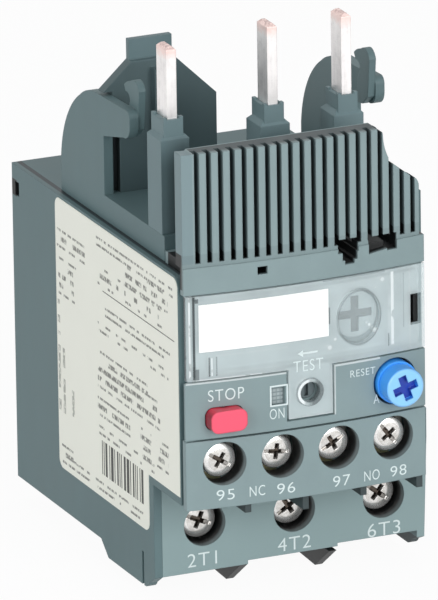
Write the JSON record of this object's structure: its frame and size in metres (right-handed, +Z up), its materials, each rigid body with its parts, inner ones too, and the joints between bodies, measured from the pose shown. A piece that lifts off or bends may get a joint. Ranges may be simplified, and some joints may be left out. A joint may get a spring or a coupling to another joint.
{
  "type": "thermal overload relay",
  "caption": "Motor overload relay that plugs under a contactor: latch hooks, plug pins, screw terminals, setting dial, stop, reset and test buttons, clear hinged cover.",
  "frame": {"origin": "middle of the width, on the rear plane, level with the underside of the housing", "axes": "+X to the relay's right seen from its front, +Y to the rear (mounting plate), +Z up towards the contactor; the front faces -Y"},
  "size_m": [0.0451, 0.0703, 0.0886],
  "materials": {
    "housing_grey": "fine grained moulded plastic",
    "wall_grey": "fine grained moulded plastic",
    "front_grey": "satin moulded plastic",
    "sleeve_grey": "satin moulded plastic",
    "label_cream": "bare printed film",
    "card_white": "blank marker card",
    "cover_smoke": "clear cover, slightly tinted",
    "dial_grey": "smooth moulded plastic",
    "stop_red": "smooth moulded plastic",
    "reset_blue": "smooth moulded plastic",
    "inner_black": "moulded plastic",
    "inner_white": "moulded plastic",
    "screw_nickel": "nickel plated",
    "cage_zinc": "zinc plated",
    "pin_tin": "tinned copper",
    "copper_bar": "tinned copper",
    "bimetal": "rolled strip",
    "mica": "glass fibre sleeve",
    "heater_wire": "resistance band",
    "spring_steel": "spring wire",
    "contact_silver": "silver tipped brass"
  },
  "bodies": {
    "housing": {"base_housing": "housing_grey", "cross_wall": "wall_grey", "side_cover": "housing_grey", "rating_label": "label_cream", "ribbed_cap": "front_grey", "control_panel": "front_grey", "aux_terminal_housing": "front_grey", "terminal_bars": "copper_bar", "fixed_contacts_nc": "contact_silver", "fixed_contacts_no": "contact_silver", "plug_pins": "pin_tin", "pin_sleeve_1": "sleeve_grey", "pin_sleeve_2": "sleeve_grey", "pin_sleeve_3": "sleeve_grey", "pole_brackets": "cage_zinc", "bimetal_strips": "bimetal", "mica_sleeves": "mica", "heater_windings": "heater_wire", "pole_barriers": "inner_black", "aux_barriers": "inner_black", "trip_lever_pin": "spring_steel", "stop_spring": "spring_steel", "reset_spring": "spring_steel"},
    "cover": {"clear_cover": "cover_smoke", "marker_card": "card_white"},
    "dial": {"setting_dial": "dial_grey", "setting_cam": "inner_white"},
    "stop": {"stop_button": "stop_red"},
    "reset": {"reset_plunger": "reset_blue"},
    "reset_cap": {"reset_button": "reset_blue"},
    "test": {"test_button": "inner_black"},
    "trip_bar": {"trip_slider": "inner_white"},
    "differential_bar": {"differential_slider": "inner_black"},
    "lever": {"trip_lever": "inner_white"},
    "carrier": {"contact_carrier": "inner_white", "trip_flag": "reset_blue", "contact_bridge_nc": "contact_silver", "contact_bridge_no": "contact_silver"},
    "main_screw_body_1": {"main_screw_1": "screw_nickel"},
    "main_cage_body_1": {"main_cage_1": "cage_zinc"},
    "main_screw_body_2": {"main_screw_2": "screw_nickel"},
    "main_cage_body_2": {"main_cage_2": "cage_zinc"},
    "main_screw_body_3": {"main_screw_3": "screw_nickel"},
    "main_cage_body_3": {"main_cage_3": "cage_zinc"},
    "aux_screw_body_95": {"aux_screw_95": "screw_nickel"},
    "aux_cage_body_95": {"aux_cage_95": "cage_zinc"},
    "aux_screw_body_96": {"aux_screw_96": "screw_nickel"},
    "aux_cage_body_96": {"aux_cage_96": "cage_zinc"},
    "aux_screw_body_97": {"aux_screw_97": "screw_nickel"},
    "aux_cage_body_97": {"aux_cage_97": "cage_zinc"},
    "aux_screw_body_98": {"aux_screw_98": "screw_nickel"},
    "aux_cage_body_98": {"aux_cage_98": "cage_zinc"}
  },
  "joints": [
    {"name": "cover_hinge", "type": "hinge", "parent": "housing", "child": "cover", "pos_m": [-0.02125, -0.06495, 0.04135], "axis": [0, 0, -1], "range_deg": [0, 100]},
    {"name": "dial_turn", "type": "hinge", "parent": "housing", "child": "dial", "pos_m": [0.0055, -0.064, 0.0414], "axis": [0, 1, 0], "range_deg": [-120, 120]},
    {"name": "stop_press", "type": "slide", "parent": "housing", "child": "stop", "axis": [0, 1, 0], "range_m": [0, 0.002], "stiffness_N_per_m": 500, "springref_m": -0.002},
    {"name": "reset_press", "type": "slide", "parent": "housing", "child": "reset", "axis": [0, 1, 0], "range_m": [0, 0.0022], "stiffness_N_per_m": 500, "springref_m": -0.002},
    {"name": "reset_turn", "type": "hinge", "parent": "reset", "child": "reset_cap", "pos_m": [0.0115, -0.069, 0.0303], "axis": [0, 1, 0], "range_deg": [0, 90]},
    {"name": "test_press", "type": "slide", "parent": "housing", "child": "test", "axis": [0, 1, 0], "range_m": [0, 0.001], "stiffness_N_per_m": 500, "springref_m": -0.002},
    {"name": "trip_bar_slide", "type": "slide", "parent": "housing", "child": "trip_bar", "axis": [1, 0, 0], "range_m": [0, 0.0015], "stiffness_N_per_m": 200, "springref_m": -0.001},
    {"name": "differential_slide", "type": "slide", "parent": "housing", "child": "differential_bar", "axis": [1, 0, 0], "range_m": [0, 0.0015]},
    {"name": "lever_swing", "type": "hinge", "parent": "housing", "child": "lever", "pos_m": [0.0129, -0.05745, 0.033], "axis": [0, -1, 0], "range_deg": [0, 17.5]},
    {"name": "carrier_drop", "type": "slide", "parent": "housing", "child": "carrier", "axis": [0, 0, -1], "range_m": [0, 0.0021]},
    {"name": "main_screw_turn_1", "type": "hinge", "parent": "housing", "child": "main_screw_body_1", "pos_m": [-0.0142, -0.05, 0.0074], "axis": [0, 1, 0], "range_deg": [0, 1080]},
    {"name": "main_cage_draw_1", "type": "slide", "parent": "housing", "child": "main_cage_body_1", "axis": [0, -1, 0], "range_m": [0, 0.0021]},
    {"name": "main_screw_turn_2", "type": "hinge", "parent": "housing", "child": "main_screw_body_2", "pos_m": [0.00055, -0.05, 0.0074], "axis": [0, 1, 0], "range_deg": [0, 1080]},
    {"name": "main_cage_draw_2", "type": "slide", "parent": "housing", "child": "main_cage_body_2", "axis": [0, -1, 0], "range_m": [0, 0.0021]},
    {"name": "main_screw_turn_3", "type": "hinge", "parent": "housing", "child": "main_screw_body_3", "pos_m": [0.0153, -0.05, 0.0074], "axis": [0, 1, 0], "range_deg": [0, 1080]},
    {"name": "main_cage_draw_3", "type": "slide", "parent": "housing", "child": "main_cage_body_3", "axis": [0, -1, 0], "range_m": [0, 0.0021]},
    {"name": "aux_screw_turn_95", "type": "hinge", "parent": "housing", "child": "aux_screw_body_95", "pos_m": [-0.01645, -0.063, 0.0214], "axis": [0, 1, 0], "range_deg": [0, 720]},
    {"name": "aux_cage_draw_95", "type": "slide", "parent": "housing", "child": "aux_cage_body_95", "axis": [0, -1, 0], "range_m": [0, 0.0012]},
    {"name": "aux_screw_turn_96", "type": "hinge", "parent": "housing", "child": "aux_screw_body_96", "pos_m": [-0.00725, -0.063, 0.0214], "axis": [0, 1, 0], "range_deg": [0, 720]},
    {"name": "aux_cage_draw_96", "type": "slide", "parent": "housing", "child": "aux_cage_body_96", "axis": [0, -1, 0], "range_m": [0, 0.0012]},
    {"name": "aux_screw_turn_97", "type": "hinge", "parent": "housing", "child": "aux_screw_body_97", "pos_m": [0.00195, -0.063, 0.0214], "axis": [0, 1, 0], "range_deg": [0, 720]},
    {"name": "aux_cage_draw_97", "type": "slide", "parent": "housing", "child": "aux_cage_body_97", "axis": [0, -1, 0], "range_m": [0, 0.0012]},
    {"name": "aux_screw_turn_98", "type": "hinge", "parent": "housing", "child": "aux_screw_body_98", "pos_m": [0.01115, -0.063, 0.0214], "axis": [0, 1, 0], "range_deg": [0, 720]},
    {"name": "aux_cage_draw_98", "type": "slide", "parent": "housing", "child": "aux_cage_body_98", "axis": [0, -1, 0], "range_m": [0, 0.0012]}
  ],
  "couplings": [
    {"joint": "differential_slide", "follows": "trip_bar_slide", "ratio": 1},
    {"joint": "lever_swing", "follows": "trip_bar_slide", "rad_per_m": 202.46},
    {"joint": "carrier_drop", "follows": "trip_bar_slide", "ratio": 1.4},
    {"joint": "main_screw_turn_1", "follows": "main_cage_draw_1", "rad_per_m": 8975.9},
    {"joint": "main_screw_turn_2", "follows": "main_cage_draw_2", "rad_per_m": 8975.9},
    {"joint": "main_screw_turn_3", "follows": "main_cage_draw_3", "rad_per_m": 8975.9},
    {"joint": "aux_screw_turn_95", "follows": "aux_cage_draw_95", "rad_per_m": 10472},
    {"joint": "aux_screw_turn_96", "follows": "aux_cage_draw_96", "rad_per_m": 10472},
    {"joint": "aux_screw_turn_97", "follows": "aux_cage_draw_97", "rad_per_m": 10472},
    {"joint": "aux_screw_turn_98", "follows": "aux_cage_draw_98", "rad_per_m": 10472}
  ]
}
